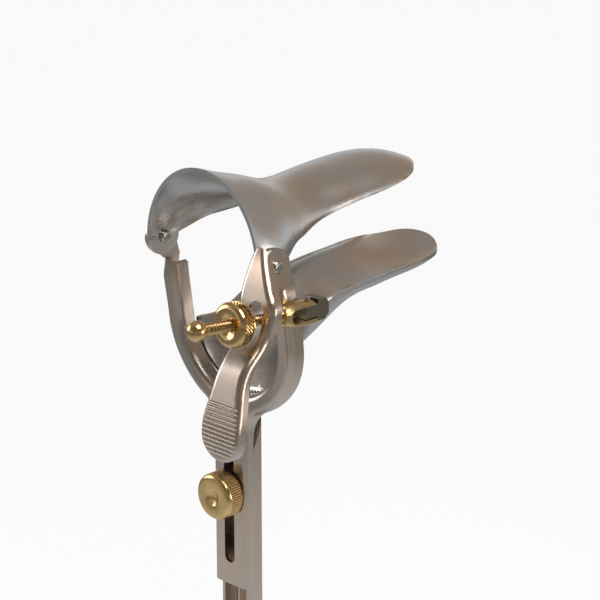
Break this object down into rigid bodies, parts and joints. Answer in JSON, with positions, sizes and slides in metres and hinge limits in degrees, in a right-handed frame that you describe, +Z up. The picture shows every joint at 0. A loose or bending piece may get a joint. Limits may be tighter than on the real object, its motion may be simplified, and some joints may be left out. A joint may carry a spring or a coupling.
{
  "type": "bivalve speculum",
  "caption": "Bivalve vaginal speculum with a hinged upper blade, thumb lever, threaded opening stop and a sliding, lockable yoke.",
  "frame": {"origin": "middle of the flat front face of the handle, where it is gripped", "axes": "+X to the user's right, +Y forward along the blades, +Z up along the handle"},
  "size_m": [0.066, 0.1332, 0.1763],
  "materials": {
    "satin_steel": "satin brushed stainless steel",
    "bright_steel": "polished stainless steel",
    "gold_plate": "gold plated, bright",
    "brass": "satin brass"
  },
  "bodies": {
    "handle_body": {"handle": "satin_steel", "lower_blade": "satin_steel", "lock_stud": "bright_steel", "lock_washer": "gold_plate"},
    "yoke": {"yoke_frame": "satin_steel", "hinge_rivet_left": "bright_steel", "hinge_rivet_right": "bright_steel", "rod_lug": "satin_steel", "clevis_pin": "bright_steel"},
    "upper": {"upper_blade": "satin_steel", "thumb_lever": "satin_steel"},
    "rod": {"rod_clevis": "brass", "threaded_rod": "gold_plate", "rod_ball": "gold_plate"},
    "nut_slider": {"nut_washer": "gold_plate"},
    "nut": {"blade_nut": "gold_plate"},
    "lock": {"lock_nut": "gold_plate"}
  },
  "joints": [
    {"name": "yoke_slide", "type": "slide", "parent": "handle_body", "child": "yoke", "axis": [0, 0, 1], "range_m": [-0.0115, 0.0215]},
    {"name": "blade_hinge", "type": "hinge", "parent": "yoke", "child": "upper", "pos_m": [0, -0.014, 0.125], "axis": [1, 0, 0], "range_deg": [-6.12, 20.4]},
    {"name": "rod_swivel", "type": "hinge", "parent": "yoke", "child": "rod", "pos_m": [0.0312, -0.0063, 0.111], "axis": [0, 0, 1], "range_deg": [-1.2, 1.2]},
    {"name": "nut_travel", "type": "slide", "parent": "rod", "child": "nut_slider", "axis": [0, 0.9951, -0.0993], "range_m": [-0.00157, 0.00524]},
    {"name": "nut_spin", "type": "hinge", "parent": "nut_slider", "child": "nut", "pos_m": [0.0312, -0.034, 0.11338], "axis": [0, 0.9951, -0.0993], "continuous": true},
    {"name": "lock_nut_spin", "type": "hinge", "parent": "handle_body", "child": "lock", "pos_m": [0, -0.014, 0.045], "axis": [0, 1, 0], "continuous": true}
  ],
  "couplings": [
    {"joint": "blade_hinge", "follows": "nut_travel", "rad_per_m": 66.667}
  ]
}
